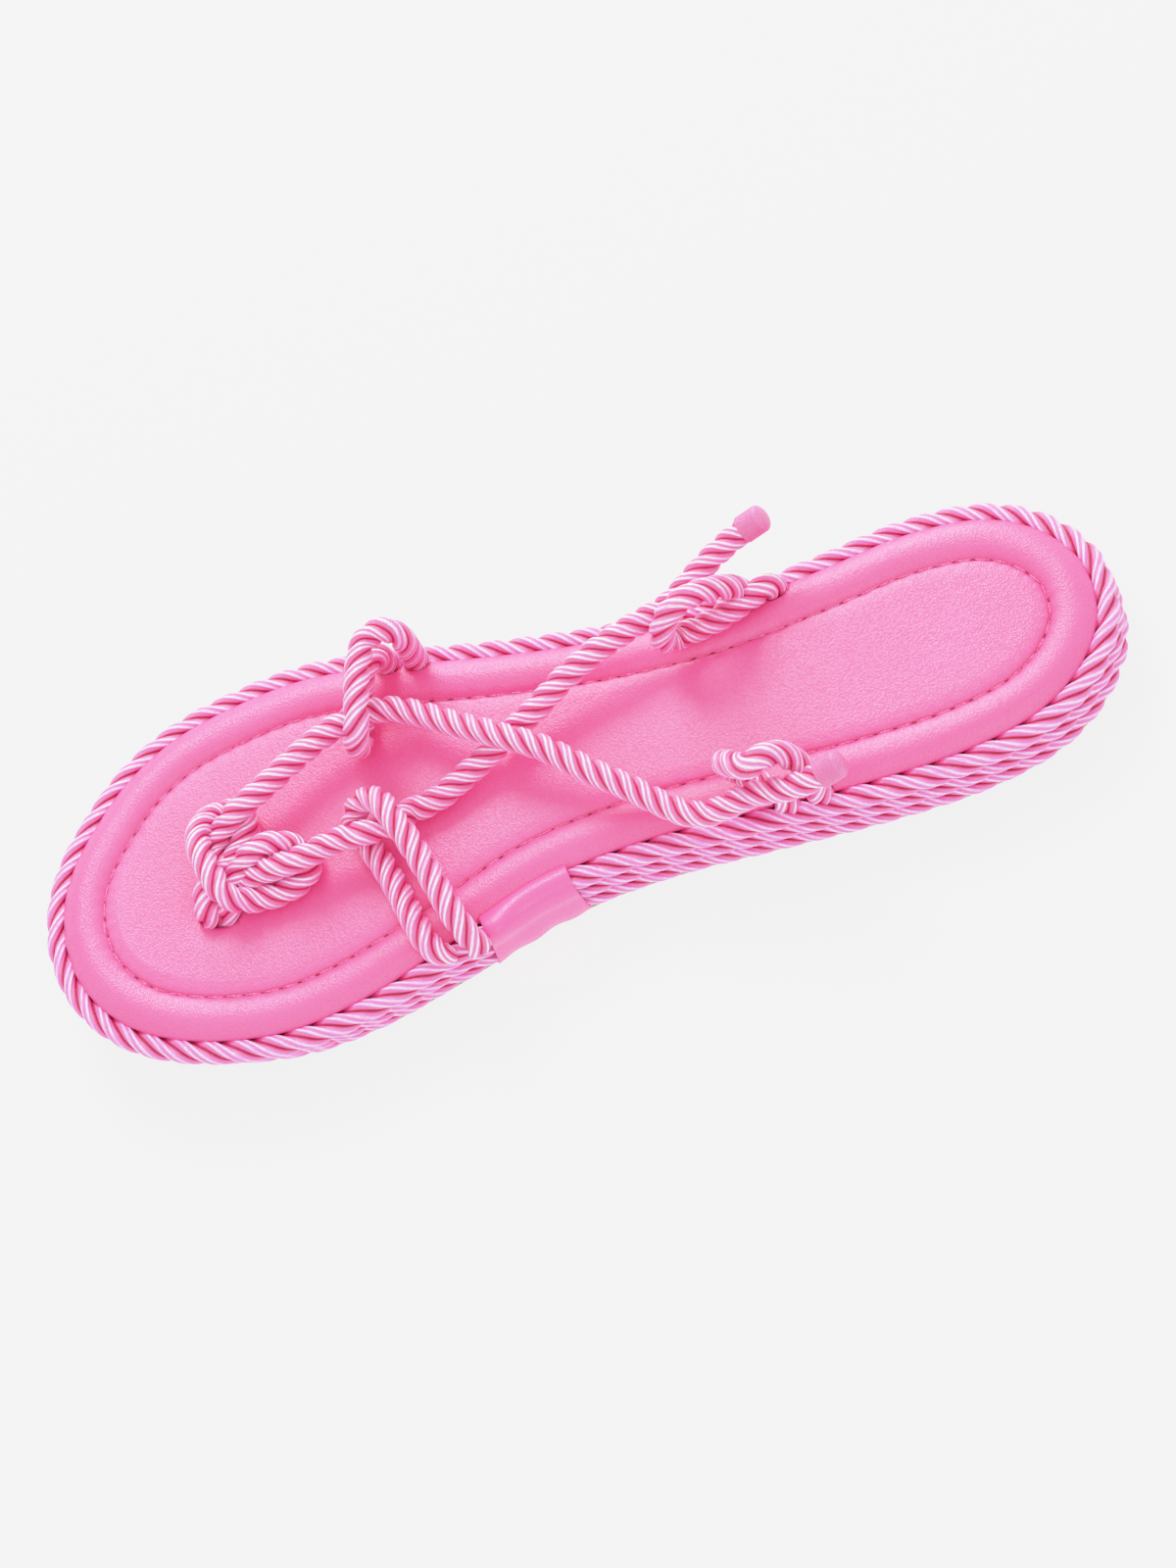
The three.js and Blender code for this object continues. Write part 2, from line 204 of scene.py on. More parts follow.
# Along is a share of the footbed's length, medial and lateral are shares of half its width.
OUTLINE = [
    {"along": 0, "medial": 0.118, "lateral": -0.118},
    {"along": 0.006, "medial": 0.346, "lateral": 0.107},
    {"along": 0.022, "medial": 0.545, "lateral": 0.315},
    {"along": 0.049, "medial": 0.723, "lateral": 0.519},
    {"along": 0.085, "medial": 0.851, "lateral": 0.725},
    {"along": 0.134, "medial": 0.95, "lateral": 0.889},
    {"along": 0.195, "medial": 1, "lateral": 0.976},
    {"along": 0.268, "medial": 0.95, "lateral": 1},
    {"along": 0.358, "medial": 0.794, "lateral": 0.9},
    {"along": 0.455, "medial": 0.621, "lateral": 0.749},
    {"along": 0.557, "medial": 0.585, "lateral": 0.626},
    {"along": 0.663, "medial": 0.63, "lateral": 0.569},
    {"along": 0.764, "medial": 0.673, "lateral": 0.602},
    {"along": 0.854, "medial": 0.673, "lateral": 0.64},
    {"along": 0.923, "medial": 0.592, "lateral": 0.578},
    {"along": 0.967, "medial": 0.427, "lateral": 0.417},
    {"along": 0.994, "medial": 0.199, "lateral": 0.185},
    {"along": 1, "medial": 0.01, "lateral": -0.01},
]


def side_line(side, sign, count):
    """One side of the outline, from the toe to the heel."""
    rows = [(row["along"] * FOOTBED_LENGTH, sign * row[side] * BALL_WIDTH / 2, 0) for row in OUTLINE]
    return smooth_line(rows, count)


def lift(station):
    """How far the toe's spring raises the sole."""
    return TOE_SPRING * np.maximum(0, 1 - station / SPRING_LENGTH) ** 2


def row_outset(row, station):
    """How far a row of rope stands out from the seam. The lower rows tuck in towards the toe."""
    t = np.clip((station - TUCK_START) / (TUCK_END - TUCK_START), 0, 1)
    return ROW_OUTSET - row * TOE_TUCK * (1 - t * t * (3 - 2 * t))


def row_height(row):
    """The middle of a row above the floor. Row 0 is the top one."""
    return ROW_BASE + (ROW_COUNT - 1 - row) * ROW_PITCH


SEAM_STEP = 1.0
SEAM_DRAFT = 4000
TANGENT_REACH = 3
lateral_side = side_line("lateral", 1, SEAM_DRAFT)
medial_side = side_line("medial", -1, SEAM_DRAFT)
around = np.vstack([lateral_side, medial_side[-2::-1]])
point_pairs = round(line_length(around) / (2 * SEAM_STEP))
seam = even_line(around, line_length(around) / (2 * point_pairs))[:-1]
tangent = np.roll(seam, -TANGENT_REACH, 0) - np.roll(seam, TANGENT_REACH, 0)
outward = np.stack([-tangent[:, 1], tangent[:, 0], 0 * tangent[:, 0]], 1)
outward /= np.linalg.norm(outward, axis=1)[:, None]
seam_station = seam[:, 0]
print("seam:", len(seam), "points")


def beside_seam(outset, height):
    """A ring of points at an outset from the seam and a height above the floor, in metres."""
    ring = seam + outward * np.broadcast_to(outset, len(seam))[:, None]
    ring[:, 0] -= FOOTBED_LENGTH / 2
    ring[:, 2] = height + lift(seam_station)
    return ring * MM


# %% [markdown]
# The rope of the upper is drawn through its own loops, so its shape comes from the way it was laid and not
# from a formula. Each route is a list of points on the rope's centre line, chosen against the
# photograph: station, side and height above the panel.

# %% Rope routes
STRAPS = [
    [184, -31, 15.4], [179.5, -31.6, 14.2], [175, -31.7, 13], [170.5, -31, 11.9], [166, -29.6, 10.9],
    [162, -28.8, 9.7], [157, -28.6, 8.1], [152, -28.2, 6.8], [147, -26, 6.5], [142, -21.7, 7],
    [137, -17, 8], [128.4, -9.6, 10], [120, -1.6, 11.2], [112.5, 3.8, 11.5], [101.7, 11.8, 10.1],
    [90.9, 19.7, 9.3], [85.6, 21.9, 9.4], [80.1, 22.3, 9.4], [74, 21.4, 9.3], [69.5, 20, 9.1],
    [62.2, 16.6, 9.1], [57.3, 13.9, 9.1], [52.3, 11.5, 8.9], [47.7, 9.7, 8.1], [43.4, 7.8, 6.1],
    [39.8, 4.6, 4.5], [39.6, 0, 4.1], [41.8, -4.1, 4],
    [45.5, -6, 4.5], [50, -6.6, 6.4], [54.4, -7.4, 8.3], [58, -7.8, 9.1], [61.4, -7.5, 9],
    [66, -6.6, 8.7], [71, -6.3, 9.1], [75.6, -6.9, 9.5], [79.5, -6.2, 7.9], [82.8, -4.4, 5.4],
    [85.8, -2.4, 4.1], [89.4, -2, 3.6], [94, -0.9, 3.5], [98.2, 0.9, 3.8], [102.7, 2.7, 4.5],
    [107.2, 4.5, 5.3], [111.6, 6.8, 5.6], [115.8, 8.8, 6.3], [120.1, 10.3, 7.5], [128.6, 14.4, 9.5],
    [137, 17.4, 11], [147, 20.3, 11.5], [154.6, 21.7, 11.8], [159, 23.9, 12.2], [163.5, 26.7, 12.7],
    [168, 29.2, 13.3], [172.5, 31, 14.2], [177, 32.2, 15.4], [181.5, 32.8, 16.8],
]
THONG = [
    [34.6, -9.6, -8.5], [34.8, -10, 0.1], [34.9, -9.8, 3.7], [36, -6.8, 5.7], [39, -3.4, 4.7],
    [42.6, -0.8, 4.3], [44.8, 1.6, 3.9], [46.8, 4.6, 3.7], [48.1, 7.6, 3.6], [47.2, 10.6, 3.7],
    [44.8, 12.4, 3.8], [41.6, 12.5, 4.4], [38.9, 10.6, 6.1], [37.4, 6.7, 8.2], [37.7, 1.7, 9.8],
    [38.7, -2.7, 10.2], [39.7, -6.6, 9.9], [40.7, -9.5, 8.7], [42.6, -11, 6.7], [45.4, -11.4, 4.9],
    [48.7, -11.6, 3.9], [52.5, -11.5, 3.6], [56.4, -10.7, 3.5], [59.3, -9, 3.4], [60.5, -6.4, 3.4],
    [59.8, -3.7, 3.6], [57.9, -2, 5.1], [55.8, -1.4, 7.1], [52.8, -1.2, 8.4], [49.3, -2, 8.3],
    [45.6, -3.6, 6.5], [42.4, -6.6, 4.3], [40, -9.4, 2.5], [38.6, -10.6, -0.9], [38.4, -10.8, -8.5],
]
FRONT_LOOP_MEDIAL = [
    [94.2, -38.9, 0.1], [93.2, -37.1, 3.7], [92, -33.9, 6.7], [90.9, -30.3, 8.3], [88.6, -21.8, 10.2],
    [85.6, -12, 12.5], [84, -8, 13.5], [82.4, -3.8, 13.4], [79.8, -0.4, 11.5], [76.5, 1, 8.8],
    [73.6, 0.3, 5.7], [72.7, -2, 3.7], [73.9, -5, 3.4], [77.2, -13.2, 3.4], [80.1, -23, 4],
    [81.5, -28.4, 4.6], [82.7, -33, 4.4], [84.1, -36.5, 3.3], [86.6, -38.6, 2.1], [89, -39.2, 1.3],
]
FRONT_LOOP_LATERAL = [
    [93.6, 37.2, -5.6], [93.7, 37, -1], [94, 36.6, 3.5], [94.5, 35.9, 9.5], [94.5, 35.7, 14.5],
    [92.8, 36.4, 17.5], [89.7, 36.5, 18.1], [86.8, 35, 17.9], [84.8, 31.2, 17.5], [82.9, 25.1, 16.9],
    [81.9, 21.3, 16.3], [80.6, 17, 14.9], [79.1, 15.5, 11.9], [78, 15.7, 7.9], [77.7, 17.9, 4.3],
    [78.2, 20.8, 3.3], [79.4, 25.9, 3.4], [81, 30.2, 5.6], [82.9, 33, 8.2], [85, 35, 9.4],
    [86.6, 36.9, 7.4], [87, 38.2, 3], [87, 38.6, -0.8], [87, 38.7, -5.6],
]
REAR_LOOP_MEDIAL = [
    [168.5, -27.6, -5.6], [168.3, -27.4, -1], [166.8, -26, 3.1], [163.5, -23, 4.4], [160.8, -20, 5.3],
    [159, -18.8, 8], [159.4, -20.2, 11.7], [161.6, -23.4, 15.5], [165, -26, 17.9], [169.2, -24.6, 17.5],
    [173, -24.4, 13.9], [175.2, -26.2, 8], [175.9, -27.6, 1.5], [175.9, -27.9, -5.6],
]
REAR_LOOP_LATERAL = [
    [178.4, 25, -5.6], [178.2, 24.8, -1], [176.4, 23.4, 3.3], [171, 20.8, 4.7], [164, 18.8, 4.5],
    [158, 18, 4.5], [154.6, 17.2, 5.4], [152.8, 15.9, 7.8], [152.6, 15, 11.6], [154.2, 15.6, 15.8],
    [157.6, 17.2, 18.5], [161.6, 18.8, 18.2], [165.8, 20.6, 15], [169.4, 22.6, 10], [171, 24.2, 3.8],
    [171.2, 24.8, -1.5], [171.2, 24.8, -5.6],
]

ROUTE_STEPS = 40


def route_line(route):
    """A route as a smooth line in metres."""
    toe = FOOTBED_LENGTH / 2
    points = [(station - toe, side, PANEL_HEIGHT + height) for station, side, height in route]
    return smooth_line(points, ROUTE_STEPS * len(points)) * MM


print("routes:", len(STRAPS), "points for the straps,", len(THONG), "for the thong")


# %% [markdown]
# Finishes are made of nodes. A small class wraps a socket, so that the sums behind a pattern read like
# ordinary Python, and one method adds any other node with its settings and links.

# %% Finish maker


class Wire:
    """A socket that gives a value, with the operators that add Math nodes."""

    def __init__(self, finish, socket):
        self.finish = finish
        self.socket = socket

    def math(self, operation, *others):
        inputs = dict(enumerate((self,) + others))
        return self.finish.node("ShaderNodeMath", {"operation": operation}, inputs)

    def __add__(self, other):
        return self.math("ADD", other)

    def __sub__(self, other):
        return self.math("SUBTRACT", other)

    def __rsub__(self, other):
        return self * -1 + other

    def __mul__(self, other):
        return self.math("MULTIPLY", other)

    def __truediv__(self, other):
        return self.math("DIVIDE", other)

    __radd__ = __add__
    __rmul__ = __mul__

    def over(self, low, high):
        """0 at low, 1 at high, smooth between them."""
        settings = {"interpolation_type": "SMOOTHSTEP"}
        inputs = {"Value": self, "From Min": low, "From Max": high}
        return self.finish.node("ShaderNodeMapRange", settings, inputs)


class Finish:
    """A material that is being made."""

    def __init__(self, name):
        self.material = bpy.data.materials.new(name)
        self.material.use_nodes = True
        self.tree = self.material.node_tree
        self.shader = next(node for node in self.tree.nodes if node.type == "BSDF_PRINCIPLED")

    def node(self, kind, settings=None, inputs=None, out=0):
        """A node of any kind: its settings first, then the values or links of its sockets."""
        made = self.tree.nodes.new(kind)
        for name, value in (settings or {}).items():
            setattr(made, name, value)
        for name, value in (inputs or {}).items():
            self.feed(made.inputs[name], value)
        return Wire(self, made.outputs[out])

    def feed(self, socket, value):
        if isinstance(value, Wire):
            self.tree.links.new(value.socket, socket)
        else:
            socket.default_value = value

    def attribute(self, name):
        return self.node("ShaderNodeAttribute", {"attribute_name": name}, out="Fac")

    def noise(self, scale, detail=2.0, roughness=0.5, vector=None):
        where = vector or self.place()
        inputs = {"Scale": scale, "Detail": detail, "Roughness": roughness, "Vector": where}
        return self.node("ShaderNodeTexNoise", None, inputs)

    def cells(self, scale, vector):
        """The distance to the middle of the nearest cell."""
        return self.node("ShaderNodeTexVoronoi", {"feature": "F1"}, {"Scale": scale, "Vector": vector})

    def stretched(self, x, y):
        """A place for a pattern that is stretched on the rope: x round the ply, y along the rope."""
        return self.node("ShaderNodeCombineXYZ", None, {"X": x, "Y": y})

    def place(self):
        """Object coordinates, in metres."""
        return self.node("ShaderNodeTexCoord", out="Object")

    def place_moved(self, field, reach):
        """Object coordinates, moved a little by a field, so that a pattern isn't too even."""
        drift = self.stretched((field - 0.5) * reach, (0.5 - field) * reach)
        return self.node("ShaderNodeVectorMath", {"operation": "ADD"}, {0: self.place(), 1: drift})

    def mix(self, share, first, second):
        """The first colour at share 0, the second at share 1."""
        inputs = {0: share, 6: first, 7: second}
        return self.node("ShaderNodeMix", {"data_type": "RGBA"}, inputs, out=2)

    def bump(self, height, distance, strength=1.0, below=None):
        inputs = {"Height": height, "Distance": distance, "Strength": strength}
        if below is not None:
            inputs["Normal"] = below
        return self.node("ShaderNodeBump", None, inputs)

    def set(self, **sockets):
        """The shader's sockets by name, with _ for a space."""
        for name, value in sockets.items():
            self.feed(self.shader.inputs[name.replace("_", " ")], value)
        return self.material


def colour(code):
    """A colour as the nodes take it, from its screen code."""
    channels = [int(code[k : k + 2], 16) / 255 for k in (0, 2, 4)]
    linear = [c / 12.92 if c <= 0.04045 else ((c + 0.055) / 1.055) ** 2.4 for c in channels]
    return (*linear, 1.0)


# %% [markdown]
# The rope is three plies of satin yarn, laid to the right. Each ply shows about two yarns side by side,
# wound with fine thread. So the colour follows the way round the ply: a painted highlight on each yarn, a
# ragged white core in a lilac halo, pink between the yarns and painted shade in deep crimson in the grooves.
# The satin shines where it is painted white, and the painted highlight is strongest on the rope's upper
# side, where the light falls. The threads are fine ridges across the yarns.

# %% Rope finish
YARNS_ROUND = 5
THREAD_PITCH = 0.33 * MM
THREAD_SLANT = 0.35
STREAK_GRAIN = (2.4, 330)
RAGGED_GRAIN = (3, 1500)
RAGGED_REACH = 0.9
YARN_RELIEF = 0.16 * MM


def rope_finish(name, core, highlight_glow, body, groove_shade, highlight_share):
    """Painted highlight from the yarn's white core and halo to the body, then painted shade in the grooves.
    """
    made = Finish(name)
    crest = made.attribute("crest")
    turn = made.attribute("turn")
    run = made.attribute("run")
    upper = made.attribute("upper")
    long_grain = made.stretched(turn * STREAK_GRAIN[0], run * STREAK_GRAIN[1])
    streaks = made.noise(1.0, 2.0, vector=long_grain)
    short_grain = made.stretched(turn * RAGGED_GRAIN[0], run * RAGGED_GRAIN[1])
    ragged = made.noise(1.0, 3.0, vector=short_grain)
    # 0 between two yarns and 1 on a yarn, then the same for the threads that are wound round them.
    yarn = 0.5 - (turn * YARNS_ROUND).math("COSINE") * 0.5
    winding = run / THREAD_PITCH + turn * THREAD_SLANT + ragged * RAGGED_REACH
    thread = (winding * (2 * math.pi)).math("COSINE") * 0.5 + 0.5
    rough = yarn + (ragged - 0.5) * RAGGED_REACH
    shaded = made.mix(rough.over(0.1, 0.85) * (thread * 0.3 + 0.7), body, highlight_glow)
    # The white core of the painted highlight shows on the ply's crest, broken by streaks, most on the upper
    # side.
    side = upper.over(-0.7, 0.5) * 0.65 + 0.35
    core_highlight = (rough + thread * 0.3 - 0.06).over(0.64, 1.08)
    lit = core_highlight * crest.over(0.1, 0.7) * streaks.over(0.3, 0.5) * side * highlight_share
    # Painted shade: the grooves between the plies are painted deep crimson.
    painted = made.mix(crest.over(-0.14, 0.26), groove_shade, made.mix(lit, shaded, core))
    normal = made.bump(yarn * 0.5 + thread * 0.32, YARN_RELIEF, 1.0)
    return made.set(
        Base_Color=painted,
        Metallic=lit * 0.65,
        Roughness=0.46 - yarn * 0.1,
        Normal=normal,
        Specular_IOR_Level=0.9,
        Sheen_Weight=0.16,
        Sheen_Roughness=0.4,
        Sheen_Tint=colour("ffa0a6"),
    )


# Each list: the painted highlight's white core and its halo, the rope's own pink body, the grooves' painted
# shade.
STRAP_COLOURS = [colour(code) for code in ("fff8ff", "ffa6f0", "fb6eb0", "dc0054")]
WELT_COLOURS = [colour(code) for code in ("ffeefe", "ffa0ee", "fb72be", "d80054")]
STRAP_ROPE = rope_finish("strap_rope", *STRAP_COLOURS, highlight_share=1.0)
WELT_ROPE = rope_finish("welt_rope", *WELT_COLOURS, highlight_share=0.7)
print("rope finishes:", STRAP_ROPE.name, WELT_ROPE.name)

# %% [markdown]
# Blender's operators act on whatever is selected, so each piece is picked alone before it is worked on.
# Places and attributes of a mesh are read and written as whole arrays.

# %% Work on a piece


def deselect():
    for item in bpy.context.selected_objects:
        item.select_set(False)


def pick(item):
    """item alone, selected and active."""
    deselect()
    item.select_set(True)
    bpy.context.view_layer.objects.active = item
    return item


def apply_all(item):
    """Every modifier of item, applied in turn."""
    pick(item)
    for modifier in list(item.modifiers):
        bpy.ops.object.modifier_apply(modifier=modifier.name)


def join(items, kept):
    """All items as one, which is the kept one."""
    deselect()
    for item in items:
        item.select_set(True)
    bpy.context.view_layer.objects.active = kept
    bpy.ops.object.join()
    return kept


def outward_normals(item, fill=False):
    """Faces turned outwards and shaded smooth, after open ends are closed where fill is set."""
    pick(item)
    bpy.ops.object.mode_set(mode="EDIT")
    bpy.ops.mesh.select_all(action="SELECT")
    if fill:
        bpy.ops.mesh.fill_holes(sides=0)
        bpy.ops.mesh.select_all(action="SELECT")
    bpy.ops.mesh.normals_make_consistent(inside=False)
    bpy.ops.object.mode_set(mode="OBJECT")
    bpy.ops.object.shade_smooth()


def coords(mesh):
    flat = np.empty(len(mesh.vertices) * 3)
    mesh.vertices.foreach_get("co", flat)
    return flat.reshape(-1, 3)


def set_coords(mesh, places):
    mesh.vertices.foreach_set("co", np.ascontiguousarray(places, np.float32).ravel())
    mesh.update()


def store(mesh, name, values):
    field = mesh.attributes.new(name, "FLOAT", "POINT")
    field.data.foreach_set("value", np.ascontiguousarray(values, np.float32))


# %% [markdown]
# A rope is made straight first. Three circles are set round an axis and swept along it with a Screw
# modifier, which gives three plies that wind round each other. The straight rope is then bent along its
# route with a Curve modifier, as a real rope is laid after it is twisted. While it is straight, each point
# keeps its place on the yarn as an attribute, which the finish reads.

# %% Straight rope
PLIES = 3
PLY_SIDES = 26
OUTSIDE_SHARE = 0.45
YARN_DEPTH = 0.11
STEPS_PER_TURN = 20
STRAP_LAY = 14.8
WELT_LAY = 22
PLY_SHARE = 0.507


def ply_circle(angle, reach, ply, slant):
    """The section of one ply, at its angle round the rope. Its points crowd on its outer side."""
    centre = (0, reach * math.cos(angle), reach * math.sin(angle))
    bpy.ops.mesh.primitive_circle_add(vertices=PLY_SIDES, radius=ply, location=(0, 0, 0))
    circle = bpy.context.object
    step = 2 * math.pi * np.arange(PLY_SIDES) / PLY_SIDES
    place = step - OUTSIDE_SHARE * np.sin(step)
    radius = ply * (1 - YARN_DEPTH * (0.5 + 0.5 * np.cos(YARNS_ROUND * place)))
    wide = radius * np.sin(place) / math.cos(slant)
    tall = radius * np.cos(place)
    y = centre[1] + tall * math.cos(angle) - wide * math.sin(angle)
    z = centre[2] + tall * math.sin(angle) + wide * math.cos(angle)
    set_coords(circle.data, np.stack([0 * y, y, z], 1))
    return circle


def store_ply(mesh, turns, length, reach):
    """For the finish: the way round the ply, its crest on the rope's outside, and the run along the rope."""
    places = coords(mesh)
    phase = 2 * math.pi * turns * places[:, 0] / length
    polar = np.arctan2(places[:, 2], places[:, 1])
    nearest = np.round((polar - phase) / (2 * math.pi / PLIES)) * (2 * math.pi / PLIES) + phase
    out = np.stack([np.cos(nearest), np.sin(nearest)], 1)
    beside = np.stack([-out[:, 1], out[:, 0]], 1)
    offset = places[:, 1:] - out * reach
    turn = np.arctan2((offset * beside).sum(1), (offset * out).sum(1))
    store(mesh, "crest", np.cos(turn))
    store(mesh, "turn", turn)
    store(mesh, "run", places[:, 0])


def straight_rope(length, lay, across, high):
    """Three plies along X from 0 to length, in metres."""
    outer = across / 2
    ply = outer * PLY_SHARE
    reach = outer - ply
    turns = length / lay
    slant = math.atan(2 * math.pi * reach / lay)
    circles = [ply_circle(2 * math.pi * k / PLIES, reach, ply, slant) for k in range(PLIES)]
    rope = join(circles, circles[0])
    screw = rope.modifiers.new("lay", "SCREW")
    screw.axis = "X"
    screw.angle = 2 * math.pi * turns
    screw.screw_offset = length
    screw.steps = screw.render_steps = max(8, round(STEPS_PER_TURN * turns))
    screw.use_smooth_shade = True
    apply_all(rope)
    store_ply(rope.data, turns, length, reach)
    places = coords(rope.data)
    places[:, 2] *= high / across
    set_coords(rope.data, places)
    return rope


# %% Laid rope
GUIDE_STEP = 0.8
TUCK_LENGTH = 5
TUCK_TO = 0.45


def store_upper(mesh, path):
    """How far each point of a laid rope lies on its upper side: 1 on top, -1 below."""
    run = np.empty(len(mesh.vertices))
    mesh.attributes["run"].data.foreach_get("value", run)
    marks = np.concatenate([[0], np.cumsum(np.linalg.norm(np.diff(path, axis=0), axis=1))])
    out = coords(mesh) - np.stack([np.interp(run, marks, path[:, k]) for k in range(3)], 1)
    # The finish paints the rope's highlight brighter where this is high.
    store(mesh, "upper", out[:, 2] / np.maximum(np.linalg.norm(out, axis=1), 1e-6))


def laid_rope(name, path, lay, across, high, finish, upright=False, tucked=False):
    """A rope along a path in metres.

    An upright one keeps its section level, as the rows round the sole do. A tucked one gets thin at its
    far end, where it goes under the patch.
    """
    length = line_length(path)
    rope = straight_rope(length, lay * MM, across * MM, high * MM)
    if tucked:
        places = coords(rope.data)
        left = np.clip((length - places[:, 0]) / (TUCK_LENGTH * MM), 0, 1)
        places[:, 1:] *= (TUCK_TO + (1 - TUCK_TO) * np.sqrt(left))[:, None]
        set_coords(rope.data, places)
    guide = bpy.data.curves.new(name + "_guide", "CURVE")
    guide.dimensions = "3D"
    guide.twist_mode = "Z_UP" if upright else "MINIMUM"
    spline = guide.splines.new("POLY")
    points = even_line(path, GUIDE_STEP * MM)
    spline.points.add(len(points) - 1)
    spline.points.foreach_set("co", np.hstack([points, np.ones((len(points), 1))]).ravel())
    guide_object = bpy.data.objects.new(name + "_guide", guide)
    scene.collection.objects.link(guide_object)
    bend = rope.modifiers.new("bend", "CURVE")
    bend.object = guide_object
    bend.deform_axis = "POS_X"
    apply_all(rope)
    bpy.data.objects.remove(guide_object)
    store_upper(rope.data, path)
    outward_normals(rope, fill=True)
    rope.name = name
    rope.data.name = name
    rope.data.materials.clear()
    rope.data.materials.append(finish)
    print(name, "rope of", round(length / MM), "mm,", len(rope.data.polygons), "faces")
    return rope


# %% [markdown]
# Four loops come up out of the leather at the sides, and the straps run through them. The straps are one
# rope that turns round at the toe. The thong is a shorter rope of its own, tied round it as a knot. All are
# the same rope, so they share one maker, and each takes the place of its plain solid.

# %% Loops and straps
ROPE_ACROSS = 6.2
STRAP_SIZE = (STRAP_LAY, ROPE_ACROSS, ROPE_ACROSS, STRAP_ROPE)
TUCKED_LOOP = "front_loop_medial"
LOOP_ROUTES = {
    "front_loop_medial": FRONT_LOOP_MEDIAL,
    "front_loop_lateral": FRONT_LOOP_LATERAL,
    "rear_loop_medial": REAR_LOOP_MEDIAL,
    "rear_loop_lateral": REAR_LOOP_LATERAL,
}
for name, route in LOOP_ROUTES.items():
    loop = laid_rope(name + "_rope", route_line(route), *STRAP_SIZE, tucked=name == TUCKED_LOOP)
    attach(loop, "root")
    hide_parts(name)

straps = laid_rope("strap_rope_both", route_line(STRAPS), *STRAP_SIZE)
thong = laid_rope("thong_rope", route_line(THONG), *STRAP_SIZE)
for piece in (straps, thong):
    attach(piece, "root")
    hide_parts("upper_rope")

# %% [markdown]
# Three rows of a rope with a longer lay go round the edge of the sole, one on top of the other. Each is a
# straight rope bent round its own ring. It starts and ends under the middle of the patch, so the joint is
# hidden as on the real shoe. The rows are pressed a little flat.

# %% Welt rows
# The plies reach a little past the plain solid, and leave grooves between them.
PAST_WIDTH = 0.3
PAST_HEIGHT = 0.4
WELT_SIZE = (WELT_LAY, ROW_WIDTH + PAST_WIDTH, ROW_HEIGHT + PAST_HEIGHT, WELT_ROPE)
PATCH_MIDDLE = PATCH_FRONT + PATCH_LENGTH / 2
medial_half = np.arange(len(seam)) > np.argmax(seam_station)
start_index = int(np.argmin(np.where(medial_half, np.abs(seam_station - PATCH_MIDDLE), np.inf)))
for row in range(ROW_COUNT):
    ring = beside_seam(row_outset(row, seam_station), row_height(row))
    ring = np.roll(ring, -start_index, 0)
    path = smooth_line(ring[::2], 2 * len(ring))
    welt = laid_rope(f"welt_rope_{row + 1}", path, *WELT_SIZE, upright=True)
    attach(welt, "root")
    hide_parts(f"welt_rope_row_{row + 1}")

# %% [markdown]
# The footbed is a foam sheet under thin leather. A line of stitches holds it down all round, so the
# border swells between the stitches and the seam. It is made of rings that follow the seam, from the foot
# of the core up to the edge of the panel. Strips across the shoe fill the panel, and at the toe and the
# heel, where they would get too small, one flat face closes it.

# %% Footbed
# The section of the leather's top: how far inside the seam, and how high above it.
TOP_PROFILE = [
    (0.2, -1.2), (-0.3, -0.2), (-0.2, 0.5), (0.5, 1.2), (1.0, 1.6), (2.2, 2.34),
    (3.4, 2.75), (4.8, 2.92), (6.4, 2.8), (7.8, 2.45), (8.8, 1.95), (9.5, 1.3),
    (9.85, 0.88), (10.1, 0.88), (10.45, 1.35), (11.1, 1.68), (12.3, 1.88), (13.6, 2),
]
STITCH_INSET = 9.97
STITCH_PITCH = 5
TOP_RINGS = 44
ACROSS_STEPS = 28
END_CAP = 7
CORE_GAP = 0.6
PUCKER = 0.14
PUCKER_REACH = 1.5
SWELL_MIDDLE = 5
SWELL_REACH = 3
# The padding's waves: the height of each, its length along the seam for one radian, and its phase.
WAVES = [(0.06, 17, 0), (0.05, 7.3, 1)]
run = np.arange(len(seam)) * SEAM_STEP
stitch_pitch = len(seam) / round(len(seam) / STITCH_PITCH)


def core_outset(row):
    """The core's side, which stays clear of a row of rope."""
    return row_outset(row, seam_station) - ROW_WIDTH / 2 - CORE_GAP


def footbed_rings():
    """Rings from the foot of the core, up its side, over the border and on to the panel."""
    rings = [beside_seam(core_outset(ROW_COUNT - 1), OUTSOLE_THICK + CLEAR)]
    for row in range(ROW_COUNT - 1, -1, -1):
        rings.append(beside_seam(core_outset(row), row_height(row)))
    profile = smooth_line([(inset, height, 0) for inset, height in TOP_PROFILE], TOP_RINGS)
    waves = sum(high * np.sin(run / length + phase) for high, length, phase in WAVES)
    for inset, height, _ in profile:
        near = np.exp(-(((inset - STITCH_INSET) / PUCKER_REACH) ** 2))
        pucker = PUCKER * near * np.cos(2 * math.pi * run / stitch_pitch)
        swell = waves * math.exp(-(((inset - SWELL_MIDDLE) / SWELL_REACH) ** 2))
        rings.append(beside_seam(-inset, SEAM_HEIGHT + height + pucker + swell))
    return rings


